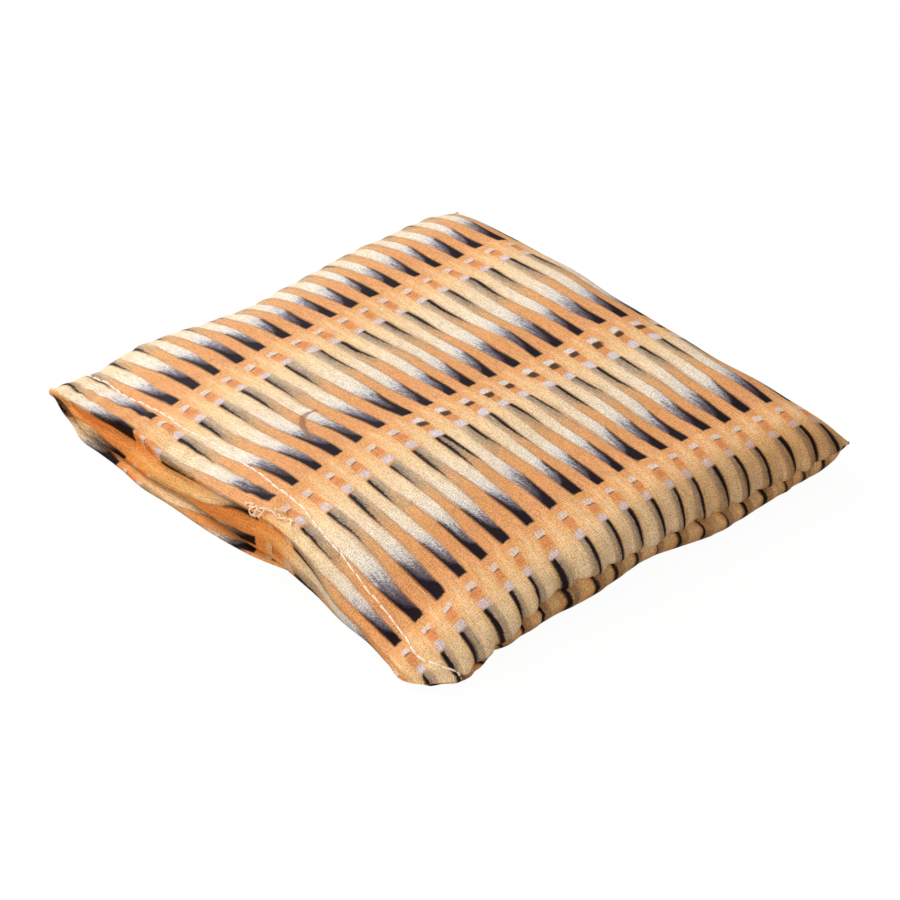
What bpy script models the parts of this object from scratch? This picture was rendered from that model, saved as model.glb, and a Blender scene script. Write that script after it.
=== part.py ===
"""Foldable shopping bag, folded up and packed into its own small sewn pouch.

Metres, +Z up, +X along the pouch's hemmed mouth, +Y towards its back fold.
The pouch lies flat on its lower panel, whose outer face is at z = 0.
"""
import math

import bmesh
import bpy

# ---- the pouch ------------------------------------------------------------
POUCH_WIDTH = 0.130           # seam to seam, along the mouth
POUCH_DEPTH = 0.115           # mouth to back fold
CLOTH = 0.0012                # pouch cloth with its finish

CROWN_LOW = 0.0125            # height over the thin left third
CROWN_RISE = 0.0045           # extra height over the fullest place
CROWN_PEAK = (0.66, 0.42)     # the fullest place: across the width, then mouth to back
CROWN_SPREAD = (0.36, 0.75)   # how far the fullness reaches each way

SEAM_HEIGHT = 0.0050          # side seams and back fold above the floor
MOUTH_HEM_HEIGHT = 0.0021     # upper hem's edge above the floor
MOUTH_CORNER_LIFT = 0.0014    # the mouth's corners stand a little higher
MOUTH_SLOPE = 0.35            # share of the depth over which the seams come down to the mouth
HEM_PEEP = 0.0008             # the lower hem peeps out under the upper one

# how far in from each edge the upper panel keeps rising
ROLL = {"left": 0.034, "right": 0.011, "front": 0.032, "back": 0.012}
LOWER_ROLL = 0.008            # how far in the lower panel leaves the floor

# corners as offsets from the plain rectangle: toward +X, toward +Y
CORNER_SHIFT = {
    "front_left": (-0.0009, -0.0010),
    "front_right": (0.0001, 0.0008),
    "back_left": (0.0013, -0.0006),
    "back_right": (0.0009, 0.0010),
}
# how far each edge is drawn in between its corners
DRAW_IN = {"left": 0.0012, "right": 0.0010, "front": 0.0010}

COLUMNS = {"left": 8, "middle": 11, "right": 7}
ROWS = {"front": 9, "middle": 9, "back": 6}

# ---- the bag folded inside --------------------------------------------------
BAG_LAYERS = 5
BAG_FILL = 0.76               # share of each layer's pitch that is cloth, the rest air
BAG_FLOOR_GAP = 0.0002        # between the lower panel and the first layer's share
BAG_TOP_GAP = 0.0004          # between the last layer's share and the upper panel
BAG_ACROSS = (0.15, 0.90)     # its sides, as shares of the pouch's width
BAG_ALONG = (0.17, 0.89)      # its folds, as shares of the pouch's depth
BAG_COLUMNS = 12
BAG_RUN_STEPS = 10
BAG_FOLD_STEPS = 6
BAG_FOLD_RADIUS = 0.0013

POUCH_COLOUR = (0.80, 0.45, 0.18, 1.0)
BAG_COLOUR = (0.72, 0.40, 0.17, 1.0)
CLOTH_ROUGHNESS = 0.6
SEWN_TOGETHER = 1e-6          # points closer than this are one stitched point


def clear_scene():
    for old in list(bpy.data.objects):
        bpy.data.objects.remove(old, do_unlink=True)


def cloth_material(name, colour):
    material = bpy.data.materials.new(name)
    material.use_nodes = True
    shader = material.node_tree.nodes["Principled BSDF"]
    shader.inputs["Base Color"].default_value = colour
    shader.inputs["Roughness"].default_value = CLOTH_ROUGHNESS
    shader.inputs["Metallic"].default_value = 0.0
    return material


def roll(distance, reach):
    """Quarter-round rise from 0 at an edge to 1 at `reach` inside it."""
    still_to_go = 1.0 - min(max(distance, 0.0) / reach, 1.0)
    return math.sqrt(1.0 - still_to_go ** 2)


def plan(a, b):
    """Plan position for a across the width and b from the mouth to the back, each 0 to 1."""
    weight = {
        "front_left": (1.0 - b) * (1.0 - a),
        "front_right": (1.0 - b) * a,
        "back_left": b * (1.0 - a),
        "back_right": b * a,
    }
    x = (a - 0.5) * POUCH_WIDTH
    y = (b - 0.5) * POUCH_DEPTH
    for corner, (shift_x, shift_y) in CORNER_SHIFT.items():
        x += weight[corner] * shift_x
        y += weight[corner] * shift_y
    mid_depth = 4.0 * b * (1.0 - b)
    mid_width = 4.0 * a * (1.0 - a)
    x += mid_depth * (DRAW_IN["left"] * (1.0 - a) - DRAW_IN["right"] * a)
    y += mid_width * DRAW_IN["front"] * (1.0 - b) ** 2
    return x, y


def edge_height(a, b):
    """Height of the line where the upper and lower panels meet or end."""
    mouth = MOUTH_HEM_HEIGHT + MOUTH_CORNER_LIFT * (2.0 * a - 1.0) ** 4
    return mouth + (SEAM_HEIGHT - mouth) * min(b / MOUTH_SLOPE, 1.0)


def crown(a, b):
    off_a = (a - CROWN_PEAK[0]) / CROWN_SPREAD[0]
    off_b = (b - CROWN_PEAK[1]) / CROWN_SPREAD[1]
    return CROWN_LOW + CROWN_RISE * math.exp(-off_a ** 2 - off_b ** 2)


def upper_height(a, b):
    across = roll(a * POUCH_WIDTH, ROLL["left"]) * roll((1.0 - a) * POUCH_WIDTH, ROLL["right"])
    along = roll(b * POUCH_DEPTH, ROLL["front"]) * roll((1.0 - b) * POUCH_DEPTH, ROLL["back"])
    low = edge_height(a, b)
    return low + (crown(a, b) - low) * across * along


def lower_height(a, b):
    across = roll(a * POUCH_WIDTH, LOWER_ROLL) * roll((1.0 - a) * POUCH_WIDTH, LOWER_ROLL)
    along = roll((1.0 - b) * POUCH_DEPTH, LOWER_ROLL)
    return edge_height(a, b) * (1.0 - across * along)


def stations(length, first, last, steps):
    """Places from 0 to 1, closer together where the cloth turns over at each end."""
    middle = length - first - last
    first_steps, middle_steps, last_steps = steps
    places = []
    for i in range(first_steps):
        places.append(first * (1.0 - math.cos(0.5 * math.pi * i / first_steps)))
    for i in range(middle_steps):
        places.append(first + middle * i / middle_steps)
    for i in range(last_steps + 1):
        places.append(first + middle + last * math.sin(0.5 * math.pi * i / last_steps))
    return [place / length for place in places]


def flat_cloth(columns, rows):
    """A flat grid of cloth, and its points in order, row by row."""
    grid = bmesh.new()
    bmesh.ops.create_grid(grid, x_segments=columns - 1, y_segments=rows - 1, size=1.0)
    points = sorted(grid.verts, key=lambda v: (round(v.co.y, 6), round(v.co.x, 6)))
    return grid, points


def add_sheet(name, grid, material, collection):
    bmesh.ops.recalc_face_normals(grid, faces=grid.faces)
    highest = max(grid.faces, key=lambda face: face.calc_center_median().z)
    if highest.normal.z < 0.0:
        bmesh.ops.reverse_faces(grid, faces=grid.faces)
    mesh = bpy.data.meshes.new(name)
    grid.to_mesh(mesh)
    grid.free()
    mesh.materials.append(material)
    sheet = bpy.data.objects.new(name, mesh)
    collection.objects.link(sheet)
    return sheet


def build_pouch(collection):
    """One cloth: from the lower hem round the back fold and over the top to the upper hem."""
    a_places = stations(POUCH_WIDTH, ROLL["left"], ROLL["right"],
                        (COLUMNS["left"], COLUMNS["middle"], COLUMNS["right"]))
    b_places = stations(POUCH_DEPTH, ROLL["front"], ROLL["back"],
                        (ROWS["front"], ROWS["middle"], ROWS["back"]))
    lower_rows = [(b, lower_height, HEM_PEEP) for b in b_places[:-1]]
    upper_rows = [(b, upper_height, 0.0) for b in reversed(b_places)]
    rows = lower_rows + upper_rows
    grid, points = flat_cloth(len(a_places), len(rows))
    next_point = iter(points)
    for b, height, peep in rows:
        for a in a_places:
            x, y = plan(a, b)
            y -= peep * 4.0 * a * (1.0 - a) * (1.0 - b) ** 6
            next(next_point).co = (x, y, height(a, b))
    # the sides are sewn: each lower edge point meets its upper one
    bmesh.ops.remove_doubles(grid, verts=grid.verts, dist=SEWN_TOGETHER)
    pouch = add_sheet("pouch", grid, cloth_material("pouch_cloth", POUCH_COLOUR), collection)
    solid = pouch.modifiers.new("cloth thickness", "SOLIDIFY")
    solid.thickness = CLOTH
    solid.offset = -1.0
    return pouch


def bag_section():
    """The back-and-forth section: (b along the depth, share of the height) at each step."""
    pitch = 1.0 / BAG_LAYERS
    front, back = BAG_ALONG
    steps = []
    for layer in range(BAG_LAYERS):
        height = (layer + 0.5) * pitch
        going_back = layer % 2 == 0
        start, end = (front, back) if going_back else (back, front)
        for i in range(BAG_RUN_STEPS + 1):
            steps.append((start + (end - start) * i / BAG_RUN_STEPS, height))
        if layer == BAG_LAYERS - 1:
            break
        outward = BAG_FOLD_RADIUS / POUCH_DEPTH * (1.0 if going_back else -1.0)
        for i in range(1, BAG_FOLD_STEPS):
            turn = math.pi * i / BAG_FOLD_STEPS
            steps.append((end + outward * math.sin(turn),
                          height + 0.5 * pitch * (1.0 - math.cos(turn))))
    return steps


def build_folded_bag(collection):
    """The bag itself, folded back and forth; its layers follow the pouch's crown."""
    section = bag_section()
    grid, points = flat_cloth(BAG_COLUMNS, len(section))
    floor = CLOTH + BAG_FLOOR_GAP
    left, right = BAG_ACROSS
    next_point = iter(points)
    for b, share in section:
        for column in range(BAG_COLUMNS):
            a = left + (right - left) * column / (BAG_COLUMNS - 1)
            x, y = plan(a, b)
            room = upper_height(a, b) - CLOTH - BAG_TOP_GAP - floor
            next(next_point).co = (x, y, floor + share * room)
    bag = add_sheet("folded_bag", grid, cloth_material("bag_cloth", BAG_COLOUR), collection)
    most_room = CROWN_LOW + CROWN_RISE
    fullness = bag.vertex_groups.new(name="fullness")
    for point in bag.data.vertices:
        a = point.co.x / POUCH_WIDTH + 0.5
        b = point.co.y / POUCH_DEPTH + 0.5
        room = upper_height(a, b) - CLOTH - BAG_TOP_GAP - floor
        fullness.add([point.index], room / most_room, "REPLACE")
    solid = bag.modifiers.new("cloth thickness", "SOLIDIFY")
    solid.thickness = most_room * BAG_FILL / BAG_LAYERS
    solid.offset = 0.0
    solid.vertex_group = fullness.name
    return bag


def main():
    clear_scene()
    collection = bpy.data.collections.new("foldable_shopping_bag")
    bpy.context.scene.collection.children.link(collection)
    build_pouch(collection)
    build_folded_bag(collection)


main()
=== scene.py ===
"""Looks of the foldable shopping bag in its pouch: cloth, print, stitching, light and camera."""

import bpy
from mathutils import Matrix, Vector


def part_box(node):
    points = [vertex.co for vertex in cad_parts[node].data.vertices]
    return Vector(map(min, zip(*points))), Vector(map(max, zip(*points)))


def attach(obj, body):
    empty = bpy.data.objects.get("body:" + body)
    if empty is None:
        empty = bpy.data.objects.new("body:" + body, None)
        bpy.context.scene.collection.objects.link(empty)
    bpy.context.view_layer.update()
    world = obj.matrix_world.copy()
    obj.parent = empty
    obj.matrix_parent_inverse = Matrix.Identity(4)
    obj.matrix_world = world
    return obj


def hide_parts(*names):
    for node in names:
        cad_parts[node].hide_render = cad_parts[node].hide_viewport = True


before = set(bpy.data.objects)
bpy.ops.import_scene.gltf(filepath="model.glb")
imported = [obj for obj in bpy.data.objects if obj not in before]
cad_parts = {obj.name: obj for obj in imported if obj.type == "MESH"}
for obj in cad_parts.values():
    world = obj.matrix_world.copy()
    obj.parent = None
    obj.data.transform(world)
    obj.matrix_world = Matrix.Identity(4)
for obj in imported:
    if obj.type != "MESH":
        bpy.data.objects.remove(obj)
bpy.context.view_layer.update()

import math
from collections import namedtuple

import bpy
import numpy as np
from mathutils import Vector
from mathutils.bvhtree import BVHTree

MM = 0.001
POUCH_LOW, POUCH_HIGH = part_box("pouch")
BAG_LOW, BAG_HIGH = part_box("folded_bag")
RANDOM = np.random.default_rng(7)


# ---- curves ----
def smooth(low, high, x):
    """0 up to low, 1 from high on, and a soft rise between."""
    t = np.clip((x - low) / (high - low), 0.0, 1.0)
    return t * t * (3.0 - 2.0 * t)


def cubic(t, gap, start, leave, end, arrive):
    """A curve from start to end at share t of the gap, with slopes leave and arrive."""
    return ((2 * t ** 3 - 3 * t ** 2 + 1) * start
            + (t ** 3 - 2 * t ** 2 + t) * gap * leave
            + (3 * t ** 2 - 2 * t ** 3) * end
            + (t ** 3 - t ** 2) * gap * arrive)


def stretch_of(knots, x):
    """The stretch between knots around each x, its length and x's share of it."""
    i = np.clip(np.searchsorted(knots, x, side="right") - 1, 0, len(knots) - 2)
    gap = knots[i + 1] - knots[i]
    return i, gap, np.clip((x - knots[i]) / gap, 0.0, 1.0)


def through(table, x):
    """Smooth curve through (place, value) pairs, level beyond its ends."""
    place, value = np.array(table, float).T
    slope = np.gradient(value, place)
    i, gap, t = stretch_of(place, x)
    return cubic(t, gap, value[i], slope[i], value[i + 1], slope[i + 1])


def down_profile(knots, values, s):
    """Smooth curve down every column, through its values at the knots."""
    values = np.stack(values)
    slope = np.gradient(values, knots, axis=0)
    i, gap, t = stretch_of(knots, s[:, None])
    i = i[:, 0]
    return cubic(t, gap, values[i], slope[i], values[i + 1], slope[i + 1])


def spaced(*stretches):
    """Places along a line from 0, stretch by stretch: (end, steps)."""
    places = [0.0]
    for end, steps in stretches:
        start = places[-1]
        places += [start + (end - start) * i / steps for i in range(1, steps + 1)]
    return np.array(places)


# ---- the pouch's shape, in millimetres ----
# Its outline in plan: (y, x) for the sides, (x, y) for the ends.
LEFT_SEAM_X = ((-59, -68.2), (-50, -68), (-44, -66.4), (-34, -66.8), (-26, -65.2), (-20, -63.7),
               (-12, -62.3), (4, -62.5), (14, -63.4), (26, -64.3), (42, -64.3), (57, -63.8))
RIGHT_SEAM_X = ((-53, 63.4), (-40, 62), (-28, 61), (-20, 59.6), (-8, 60.6),
                (12, 60.8), (30, 62), (45, 63.2), (58, 65.2))
RIM_Y = ((-67, -59.1), (-60, -59.2), (-52, -61), (-46, -60.4), (-38, -59.8), (-30, -59.8),
         (-22, -58.7), (-6, -58), (4, -57.6), (14, -56.8), (26, -57.1), (36, -58.2),
         (44, -58.5), (50, -59.6), (56, -60.6), (60, -58), (64, -52.8))
FOLD_Y = ((-64, 56.9), (-30, 57.3), (2, 57), (44, 57.5), (64, 58.4))
# heights of the edges
LEFT_SEAM_Z = ((-59, 3.5), (-45, 4.3), (-20, 5), (57, 5))
RIGHT_SEAM_Z = ((-54, 2.5), (-46, 4.3), (-36, 5.6), (40, 5.8), (52, 6.3), (58, 7))
RIM_Z = ((-67, 3.4), (-55, 2.3), (0, 2.1), (12, 1.9), (20, 1.1), (52, 1.1), (60, 1.2), (64, 1.7))
FOLD_Z = ((-65, 5), (40, 5.2), (64, 6.8))
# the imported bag's relief under the cloth: a row of heights for each y, at each x
RELIEF_X = (-60, -35, -10, 10, 30, 48, 60)
RELIEF = {
    -42: (11.3, 11.8, 14, 15.3, 13.8, 11.3, 9.8),
    -30: (12.6, 13, 15, 16.2, 15.4, 13.2, 11.6),
    -18: (13.2, 13.8, 15.8, 17.2, 16.8, 15.2, 13.8),
    -5: (13.4, 14.2, 16, 17.4, 17.2, 16.4, 15.8),
    15: (13.4, 14.2, 15.6, 16.6, 16.7, 16.2, 15.9),
    35: (13.4, 14.3, 15.2, 16, 15.8, 15.2, 15),
    50: (13.2, 14.4, 15.4, 15.6, 15.2, 14.6, 14.4),
}

# The front at steps s from the rim, in from the rim and up: (x, value).
CREASE_S, STITCH_S, SHOULDER_S, FRONT_END_S = 8.0, 15.0, 28.0, 40.0
CREASE_IN = ((-66, 0.5), (-56, 0.8), (-49, 2.2), (-41, 3), (-28, 2.8), (-18, 1.8),
             (-6, 0.8), (4, 0.2), (12, -0.2), (22, 0), (40, 0.8), (56, 1.2), (64, 0.6))
STITCH_IN = ((-66, 9), (-51, 11), (-38, 10.3), (-24, 10.3), (-12, 9.2), (2, 7.6),
             (11, 6.8), (18, 5.1), (28, 4.4), (40, 4.3), (55, 4.2), (60, 2.4), (64, 0.9))
CREASE_Z = ((-66, 6.1), (-56, 6.8), (-47, 7.6), (-38, 7.6), (-30, 7.0), (-20, 7.2), (-8, 9.2),
            (4, 11.6), (12, 11.9), (22, 10.2), (35, 6.2), (48, 3.5), (57, 3.1), (64, 2.3))
STITCH_Z = ((-66, 8), (-57, 7.9), (-51, 8.7), (-42, 9.4), (-28, 9.8), (-16, 11.1), (-4, 13.1),
            (8, 13.9), (17, 13.3), (28, 11.8), (38, 8.9), (49, 5.6), (57, 4.3), (64, 2.7))
SHOULDER_IN, FRONT_END_IN = 12.3, 24.5
CREASE_SHARP = ((-66, 0.5), (-55, 0.9), (-30, 1), (5, 1), (16, 0.6), (24, 0), (64, 0))
# how far the lower hem stands out of the mouth, (x, out), and the lower cloth's side, (y, out)
HEM_PEEP = ((-66, 0.3), (6, 0.3), (18, -2.4), (56, -2.4), (64, -0.4))
LOWER_OUT = ((-56, -1.5), (-50, 0.2), (-44, -1.2), (-38, -0.5), (-28, 1.3), (-20, 1.8), (-8, 0.4),
             (4, -0.5), (10, 0.7), (18, 2), (28, 1.3), (38, 0.2), (48, -0.9), (58, -1.2))
# the front's small forms: (height, steps from the rim, width)
CREASE_EDGE = (1.15, CREASE_S, 0.9)
BEHIND_CREASE = (-0.3, 10.5, 2.2)
UNDER_CREASE = (-1.6, 5.7, 1.5)
STITCH_VALLEY = (-0.42, STITCH_S, 1.3)
HEM_WAVE = (0.34, 11.5, 3.2)
FACE_WAVE = (0.35, 3.0, 2.6)

# where the edges' heights blend: across, behind the rim and before the fold
EDGE_ACROSS, EDGE_FRONT, EDGE_BACK = (-60.0, 60.0), (-60.0, -22.0), (46.0, 58.0)

# The walls, from the seam: steps t, how far in, and share of the height reached.
RIGHT_WALL = ((0, 2.4, 0), (0.8, 1.2, -0.04), (1.6, 0.2, -0.01), (2.4, -0.5, 0.06),
              (4, -0.7, 0.20), (6, -0.4, 0.38), (8, 0.2, 0.56), (10, 1.2, 0.72),
              (12, 2.7, 0.84), (14, 4.5, 0.915), (16, 6.5, 0.955), (19, 9.5, 0.985),
              (23, 13.5, 1))
RIGHT_UNDER = ((0, 2.4, 0), (0.8, 1.2, 0), (1.6, 0.1, 0.08), (2.4, -0.6, 0.2),
               (4, -0.6, 0.5), (6, 0.6, 0.85), (8, 2.5, 0.97), (10, 4.5, 1),
               (23, 13.5, 1))
LEFT_WALL = ((0, 1, 0), (0.8, 0.3, 0), (1.8, 0, 0.10), (3, 0.4, 0.20),
             (5, 1.9, 0.35), (8, 4.6, 0.51), (12, 8.4, 0.66), (17, 13.2, 0.79),
             (24, 20.1, 0.90), (31, 27, 0.97), (40, 36, 1))
LEFT_UNDER = ((0, 1, 0), (0.8, 0.3, 0), (1.8, -0.2, 0.12), (3, -0.1, 0.35),
              (5, 1.2, 0.75), (8, 4, 0.98), (12, 8, 1), (40, 36, 1))
# At the corners the seam isn't tucked in: by how much, how far, and the back ones' share.
EAR_TUCK, EAR_REACH, BACK_EAR = 0.2, 9.0, 0.62
BACK_REACH, BACK_UNDER_REACH = 13.0, 8.0  # depth of the upper and lower halves of the back fold

# The seams' puckers: pitch, first pull, height, how far in they fade, and how round they are.
PUCKER_PITCH, PUCKER_START = 6.02, -46.8
PUCKER_OUT, PUCKER_FADE, UNDER_FADE = 1.45, 12.0, 6.0
PUCKER_ROUND = 0.6
LEFT_PUCKER = 0.34  # the left seam's, as a share of the right's

# The cloth's grid: fine at the seams, the rim and the fold, plainer between.
LEFT_T = spaced((3.2, 7), (12.0, 10), (40.0, 22))
RIGHT_T = spaced((3.2, 8), (14.0, 18), (23.0, 9))
MIDDLE_COLUMNS = 54
FRONT_S = spaced((20.0, 40), (FRONT_END_S, 24))
MIDDLE_ROWS = 84
TURN = np.linspace(0.0, 0.5 * math.pi, 17)
FAR = 99.0  # a place that no table reaches
FRONT_Y, FRONT_DEEP, BACK_Y = -59.0, 34.5, 57.5

N_LEFT, N_RIGHT, N_MID = len(LEFT_T), len(RIGHT_T), MIDDLE_COLUMNS - 1
N_COLUMNS = N_LEFT + N_MID + N_RIGHT
N_FRONT, N_TURN = len(FRONT_S), len(TURN)
N_ROWS = N_FRONT + MIDDLE_ROWS - 1 + N_TURN
T_LEFT = np.concatenate([LEFT_T, np.full(N_MID + N_RIGHT, FAR)])
T_RIGHT = np.concatenate([np.full(N_LEFT + N_MID, FAR), RIGHT_T[::-1]])
S_FRONT = np.concatenate([FRONT_S, np.full(N_ROWS - N_FRONT, FAR)])
S_TURN = np.concatenate([np.zeros(N_ROWS - N_TURN), TURN])
NOMINAL_Y = np.concatenate([
    FRONT_Y + FRONT_DEEP * FRONT_S / FRONT_END_S,
    np.linspace(FRONT_Y + FRONT_DEEP, BACK_Y - BACK_REACH, MIDDLE_ROWS + 1)[1:-1],
    BACK_Y - BACK_REACH * (1.0 - np.sin(TURN))])
EAR = np.maximum(1.0 - smooth(0.0, EAR_REACH, S_FRONT), BACK_EAR * smooth(0.2, 1.4, S_TURN))[:, None]
FROM_SIDE = np.minimum(T_LEFT, T_RIGHT)


def column(table, index):
    """(place, value) pairs from a table whose rows hold several values."""
    return [(row[0], row[index]) for row in table]


def wall_heights(left_wall, right_wall):
    """Share of the full height that every column reaches."""
    left = np.where(T_LEFT < FAR, through(column(left_wall, 2), T_LEFT), 1.0)
    right = np.where(T_RIGHT < FAR, through(column(right_wall, 2), T_RIGHT), 1.0)
    return (left * right)[None, :]


def plan_x(left_wall, right_wall):
    """Where each column runs, row by row."""
    x = np.empty((N_ROWS, N_COLUMNS))
    for places, wall, seam, side, sign in (
            (LEFT_T, left_wall, LEFT_SEAM_X, slice(0, N_LEFT), 1.0),
            (RIGHT_T[::-1], right_wall, RIGHT_SEAM_X, slice(N_COLUMNS - N_RIGHT, None), -1.0)):
        last = wall[-1]
        tucked = through(column(wall, 1), places)[None, :]
        flat = (EAR_TUCK + (last[1] - EAR_TUCK) * places / last[0])[None, :]
        inward = tucked * (1.0 - EAR) + flat * EAR
        x[:, side] = through(seam, NOMINAL_Y)[:, None] + sign * inward
    share = (np.arange(1, MIDDLE_COLUMNS) / MIDDLE_COLUMNS)[None, :]
    start, end = x[:, N_LEFT - 1, None], x[:, N_LEFT + N_MID, None]
    x[:, N_LEFT:N_LEFT + N_MID] = start + (end - start) * share
    return x


FRONT_KNOTS = np.array([0.0, CREASE_S, STITCH_S, SHOULDER_S, FRONT_END_S])


def plan_y(x):
    """Where each row runs, column by column."""
    y = np.empty_like(x)
    front = x[:N_FRONT]
    stitch = through(STITCH_IN, front)
    inward = [0.0 * front[0], through(CREASE_IN, front[0]), stitch[0],
              stitch[0] + SHOULDER_IN, stitch[0] + FRONT_END_IN]
    y[:N_FRONT] = through(RIM_Y, front) + down_profile(FRONT_KNOTS, inward, FRONT_S)
    turn = x[-N_TURN:]
    y[-N_TURN:] = through(FOLD_Y, turn) - BACK_REACH * (1.0 - np.sin(TURN))[:, None]
    share = (np.arange(1, MIDDLE_ROWS) / MIDDLE_ROWS)[:, None]
    y[N_FRONT:-N_TURN] = y[N_FRONT - 1] * (1.0 - share) + y[-N_TURN] * share
    return y


def relief(x, y):
    """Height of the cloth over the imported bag."""
    rows = sorted(RELIEF)
    lines = np.stack([through([(r, RELIEF[r][k]) for r in rows], y) for k in range(len(RELIEF_X))])
    knots = np.array(RELIEF_X, float)
    slope = np.gradient(lines, knots, axis=0)
    i, gap, t = stretch_of(knots, x)

    def at(stack, index):
        return np.take_along_axis(stack, index[None], axis=0)[0]

    return cubic(t, gap, at(lines, i), at(slope, i), at(lines, i + 1), at(slope, i + 1))


def edge_height(x, y):
    """Height of the cloth's edges, spread over the inside between them."""
    across = smooth(*EDGE_ACROSS, x)
    side = through(LEFT_SEAM_Z, y) * (1.0 - across) + through(RIGHT_SEAM_Z, y) * across
    front = smooth(*EDGE_FRONT, y)
    back = smooth(*EDGE_BACK, y)
    low = through(RIM_Z, x) * (1.0 - front) + side * front
    return low * (1.0 - back) + through(FOLD_Z, x) * back


def outward(p):
    """Unit normals of a panel, facing up on the upper one."""
    n = np.cross(np.gradient(p, axis=1), np.gradient(p, axis=0))
    return n / np.maximum(np.linalg.norm(n, axis=2, keepdims=True), 1e-9)


def lobes(y):
    """Puffs of cloth between a seam's pulls: 0 at each pull, 1 between two."""
    place = (y - PUCKER_START) / PUCKER_PITCH
    place = place + 0.19 * np.sin(1.7 * place + 0.4) + 0.09 * np.sin(3.9 * place + 2.0)
    return np.abs(np.sin(np.pi * place)) ** PUCKER_ROUND


def seam_weight(t, fade):
    """How strongly the puckers show at t from their seam."""
    return np.where(t < FAR, smooth(0.0, 2.0, t) * (1.0 - smooth(2.5, fade, t)), 0.0)


def puckers(p, fade):
    """Puffs along both side seams, reaching `fade` in from them."""
    right, left = seam_weight(T_RIGHT, fade), LEFT_PUCKER * seam_weight(T_LEFT, fade)
    uneven = 1.0 + 0.30 * np.sin(0.31 * p[..., 1] + 0.8) + 0.24 * np.sin(0.83 * p[..., 1])
    puffs = right[None, :] * lobes(p[..., 1]) + left[None, :] * lobes(p[..., 1] * 0.93 + 2.0)
    return PUCKER_OUT * uneven * (puffs - 0.4 * (right + left))


def waves(x, y):
    """Faint rise and fall of packed cloth: (height, per x, per y, start)."""
    total = 0.0
    for height, per_x, per_y, start in (
            (0.22, 0.11, 0.05, 0.3), (0.18, -0.06, 0.16, 1.9), (0.14, 0.21, -0.09, 4.1),
            (0.10, 0.05, 0.31, 2.2), (0.08, 0.33, 0.12, 0.9), (0.06, 0.17, 0.47, 5.0)):
        total = total + height * np.sin(per_x * x + per_y * y + start)
    return total


def upper_panel():
    """The upper cloth without its small forms."""
    x = plan_x(LEFT_WALL, RIGHT_WALL)
    y = plan_y(x)
    sides = wall_heights(LEFT_WALL, RIGHT_WALL)
    low = edge_height(x, y)
    full = relief(x, y)
    front = x[0]
    shoulder_row = int(np.argmin(np.abs(FRONT_S - SHOULDER_S)))
    values = [low[0], through(CREASE_Z, front), through(STITCH_Z, front),
              full[shoulder_row], full[N_FRONT - 1]]
    full[:N_FRONT] = down_profile(FRONT_KNOTS, values, FRONT_S)
    z = low + (full - low) * sides * np.cos(S_TURN)[:, None]
    return np.stack([x, y, z], -1)


def lower_panel(upper):
    """The lower cloth, which meets the upper one at the sides and back."""
    x = plan_x(LEFT_UNDER, RIGHT_UNDER)
    y = upper[..., 1].copy()
    bulge = smooth(0.0, 2.5, T_RIGHT) * (1.0 - smooth(5.0, 14.0, T_RIGHT))
    x = x + through(LOWER_OUT, y) * bulge[None, :] * (1.0 - EAR)
    ends = y[0] - through(HEM_PEEP, x[0]), y[N_FRONT - 1]
    even = ends[0] + (ends[1] - ends[0]) * (FRONT_S / FRONT_END_S)[:, None]
    inside = smooth(0.0, EAR_REACH, FROM_SIDE)[None, :]
    y[:N_FRONT] = y[:N_FRONT] * (1.0 - inside) + even * inside
    from_fold = through(FOLD_Y, x) - y
    still = 1.0 - np.clip(from_fold / BACK_UNDER_REACH, 0.0, 1.0)
    down = wall_heights(LEFT_UNDER, RIGHT_UNDER)
    z = edge_height(x, y) * (1.0 - down * np.sqrt(1.0 - still ** 2))
    return np.stack([x, y, z], -1)


def along(p, axis, start):
    """Length along the cloth from line start, down columns (axis 0) or across rows (1)."""
    step = np.linalg.norm(np.diff(p, axis=axis), axis=2)
    pad = [(0, 0), (0, 0)]
    pad[axis] = (1, 0)
    run = np.cumsum(np.pad(step, pad), axis=axis)
    return run - np.take(run, [start], axis=axis)


# ---- where the print lies, in millimetres of cloth ----
BAND_PITCH, ROW_PITCH = 43.5, 6.25
BAND_AT_X, MIRROR_AT_Y = 10.9, -15.8
FOLD_ROW = 12.5  # the fold lies on a line of the print's own symmetry


def cloth_places(upper, lower):
    """(across, along) on the cloth for both panels, on round the fold."""
    mid_row = int(np.argmin(np.abs(upper[:, N_COLUMNS // 2, 1] - MIRROR_AT_Y)))
    band_column = int(np.argmin(np.abs(upper[mid_row, :, 0] - BAND_AT_X)))
    u = along(upper, 1, band_column) + (upper[mid_row, band_column, 0] - BAND_AT_X)
    v = along(upper, 0, mid_row) + (upper[mid_row, :, 1] - MIRROR_AT_Y)[None, :]
    top = np.stack([u, v], -1)
    run = along(lower, 1, 0)
    from_left, from_right = u[:, :1] + run, u[:, -1:] - (run[:, -1:] - run)
    share = smooth(0.2, 0.8, np.linspace(0.0, 1.0, N_COLUMNS))[None, :]
    back = v[-1:, :]
    shift = 2.0 * (FOLD_ROW * ROW_PITCH - back) * smooth(0.0, 25.0, back - v)
    under = np.stack([from_left * (1.0 - share) + from_right * share, 2.0 * back - v + shift], -1)
    return top, under


def bell(form, s):
    """A form's fade to both sides of its own place down the front."""
    return np.exp(-((s - form[1]) / form[2]) ** 2)


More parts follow.
